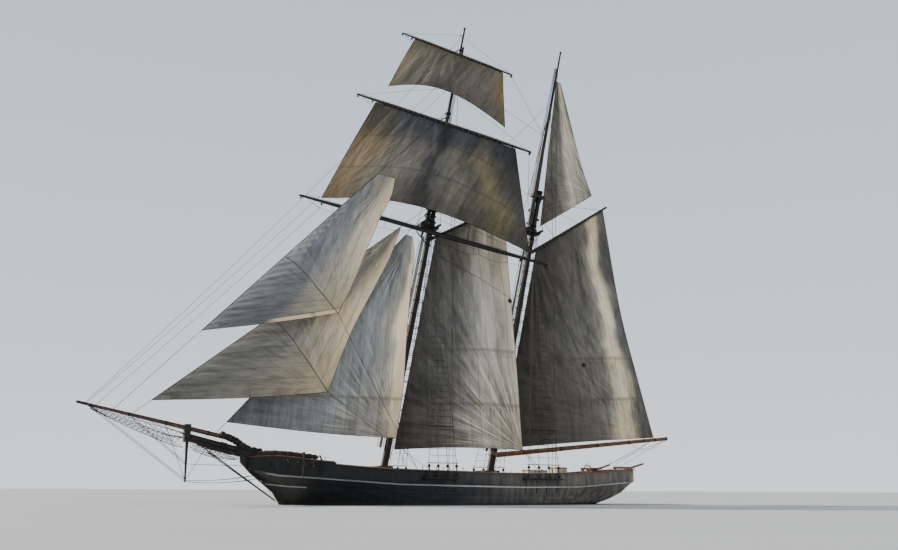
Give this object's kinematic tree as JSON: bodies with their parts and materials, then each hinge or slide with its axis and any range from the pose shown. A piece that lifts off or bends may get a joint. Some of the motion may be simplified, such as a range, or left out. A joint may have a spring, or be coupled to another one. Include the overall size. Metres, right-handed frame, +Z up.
{
  "type": "tall ship",
  "caption": "Two-masted topsail schooner with a black keeled hull, raked masts, braced square yards, gaff sails and headsails set, steered by a wheel and rudder.",
  "frame": {"origin": "centreline of the hull amidships, at the waterline", "axes": "+X towards the bow, +Y to port, +Z up"},
  "size_m": [35.9896, 11.23, 35.0302],
  "materials": {
    "hull_paint": "black paint over planking, satin",
    "deck_planks": "scrubbed planking, matte",
    "varnished_wood": "varnished",
    "deck_timber": "oiled timber",
    "cabin_paint": "off-white paint, satin",
    "spar_paint": "dark stained and oiled",
    "tarred_rope": "tarred rope",
    "canvas": "weathered canvas"
  },
  "bodies": {
    "ship": {"hull": "hull_paint", "deck": "deck_planks", "keel": "hull_paint", "stem": "hull_paint", "sternpost": "hull_paint", "bulwark_port": "hull_paint", "bulwark_starboard": "hull_paint", "rail_cap_port": "varnished_wood", "rail_cap_starboard": "varnished_wood", "transom": "hull_paint", "taffrail": "varnished_wood", "fore_hatch": "deck_timber", "main_hatch": "deck_timber", "trunk_cabin": "cabin_paint", "windlass": "deck_timber", "bowsprit_bitts": "deck_timber", "fore_fife_rail": "deck_timber", "main_fife_rail": "deck_timber", "cathead_port": "deck_timber", "cathead_starboard": "deck_timber", "wheel_stand": "deck_timber", "stern_davit_port": "varnished_wood", "stern_davit_starboard": "varnished_wood", "bowsprit": "spar_paint", "jibboom": "varnished_wood", "bowsprit_cap": "spar_paint", "dolphin_striker": "spar_paint", "foremast": "spar_paint", "fore_topmast": "spar_paint", "fore_crosstrees": "spar_paint", "fore_cap": "spar_paint", "mainmast": "spar_paint", "main_topmast": "spar_paint", "main_crosstrees": "spar_paint", "main_cap": "spar_paint", "fore_shrouds_port": "tarred_rope", "fore_shrouds_starboard": "tarred_rope", "main_shrouds_port": "tarred_rope", "main_shrouds_starboard": "tarred_rope", "forestay": "tarred_rope", "jib_stay": "tarred_rope", "outer_jib_stay": "tarred_rope", "outer_jib": "canvas", "jib": "canvas", "fore_staysail": "canvas"},
    "yard_course": {"course_yard": "spar_paint"},
    "yard_topsail": {"topsail_yard": "spar_paint", "fore_topsail": "canvas"},
    "yard_topgallant": {"topgallant_yard": "spar_paint", "topgallant_sail": "canvas"},
    "gaff_fore": {"fore_gaff": "spar_paint", "foresail": "canvas"},
    "boom_main": {"main_boom": "varnished_wood", "mainsail": "canvas", "main_gaff": "spar_paint", "main_gaff_topsail": "canvas"},
    "rudder_body": {"rudder": "hull_paint"},
    "wheel_body": {"steering_wheel": "varnished_wood"}
  },
  "joints": [
    {"name": "course_yard_brace", "type": "hinge", "parent": "ship", "child": "yard_course", "pos_m": [2.06579, 0, 17.01344], "axis": [-0.1874, 0, 0.9823], "range_deg": [-100, 0]},
    {"name": "topsail_yard_brace", "type": "hinge", "parent": "ship", "child": "yard_topsail", "pos_m": [0.48356, 0, 24.56064], "axis": [-0.1874, 0, 0.9823], "range_deg": [-100, 0]},
    {"name": "topgallant_yard_brace", "type": "hinge", "parent": "ship", "child": "yard_topgallant", "pos_m": [-0.61248, 0, 29.77258], "axis": [-0.1874, 0, 0.9823], "range_deg": [-100, 0]},
    {"name": "fore_gaff_swing", "type": "hinge", "parent": "ship", "child": "gaff_fore", "pos_m": [1.3137, 0, 16.31311], "axis": [-0.1874, 0, 0.9823], "range_deg": [-2, 8]},
    {"name": "main_boom_swing", "type": "hinge", "parent": "ship", "child": "boom_main", "pos_m": [-3.28423, 0, 2.96421], "axis": [-0.21, 0, 0.9777], "range_deg": [-26, 54]},
    {"name": "rudder_hinge", "type": "hinge", "parent": "ship", "child": "rudder_body", "pos_m": [-9.95, 0, -1.58], "axis": [-0.3568, 0, 0.9342], "range_deg": [-35, 35]},
    {"name": "wheel_turn", "type": "hinge", "parent": "ship", "child": "wheel_body", "pos_m": [-10.35, 0, 2.0514], "axis": [1, 0, 0], "range_deg": [-350, 350]}
  ],
  "couplings": [
    {"joint": "topsail_yard_brace", "follows": "course_yard_brace", "ratio": 1},
    {"joint": "topgallant_yard_brace", "follows": "course_yard_brace", "ratio": 1},
    {"joint": "wheel_turn", "follows": "rudder_hinge", "ratio": 10}
  ]
}
